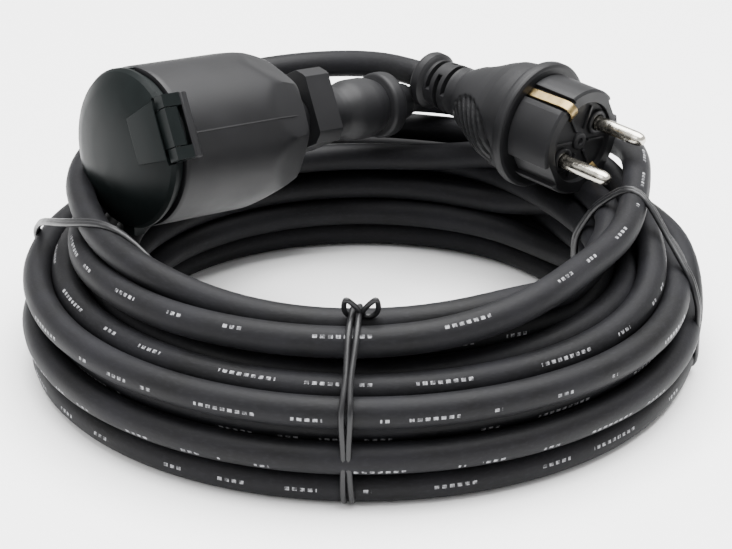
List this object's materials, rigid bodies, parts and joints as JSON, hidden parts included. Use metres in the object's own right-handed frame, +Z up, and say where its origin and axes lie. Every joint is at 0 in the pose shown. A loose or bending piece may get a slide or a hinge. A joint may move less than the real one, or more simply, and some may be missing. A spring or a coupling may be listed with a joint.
{
  "type": "extension cord",
  "caption": "Coiled rubber extension cord: earthed two-pin plug at one end, earthed coupler with hinged self-closing lid at the other, bundle held by wire ties.",
  "frame": {"origin": "middle of the coil's bore, on the floor it lies on", "axes": "+Z up through the coil, -Y towards the side with the middle tie, +X towards the plug"},
  "size_m": [0.2226, 0.2226, 0.0955],
  "materials": {
    "body_rubber": "matt",
    "cable_rubber": "satin",
    "hard_black": "satin",
    "seal_rubber": "matt",
    "nickel": "polished",
    "brass": "satin",
    "steel": "satin",
    "core_brown": "satin",
    "core_blue": "satin",
    "core_earth": "satin"
  },
  "bodies": {
    "cord": {"coupler_body": "body_rubber", "lid_frame": "hard_black", "hinge_pin": "steel", "lid_spring": "steel", "contact_carrier": "hard_black", "line_contact": "brass", "neutral_contact": "brass", "earth_bracket": "brass", "line_terminal_screw": "steel", "neutral_terminal_screw": "steel", "earth_terminal_screw": "steel", "carrier_screw": "steel", "clamp_block": "body_rubber", "clamp_screw": "steel", "bend_sleeve": "body_rubber", "coupler_cable_end": "cable_rubber", "coupler_core_brown": "core_brown", "coupler_core_blue": "core_blue", "coupler_core_earth": "core_earth", "plug_nose": "hard_black", "plug_body": "body_rubber", "line_pin": "nickel", "neutral_pin": "nickel", "earth_strap": "brass", "plug_cable_end": "cable_rubber", "plug_core_brown": "core_brown", "plug_core_blue": "core_blue", "plug_core_earth": "core_earth", "coupler_lead": "cable_rubber", "plug_lead": "cable_rubber", "cord_coil": "cable_rubber", "tie_front": "hard_black", "tie_left": "hard_black", "tie_right": "hard_black"},
    "lid": {"coupler_lid": "hard_black", "lid_seal": "seal_rubber"}
  },
  "joints": [
    {"name": "lid_hinge", "type": "hinge", "parent": "cord", "child": "lid", "pos_m": [-0.05894, -0.0165, 0.08239], "axis": [-0.2645, 0.4347, 0.8609], "range_deg": [0, 110], "stiffness_Nm_per_rad": 0.02, "springref_deg": -28.65}
  ]
}
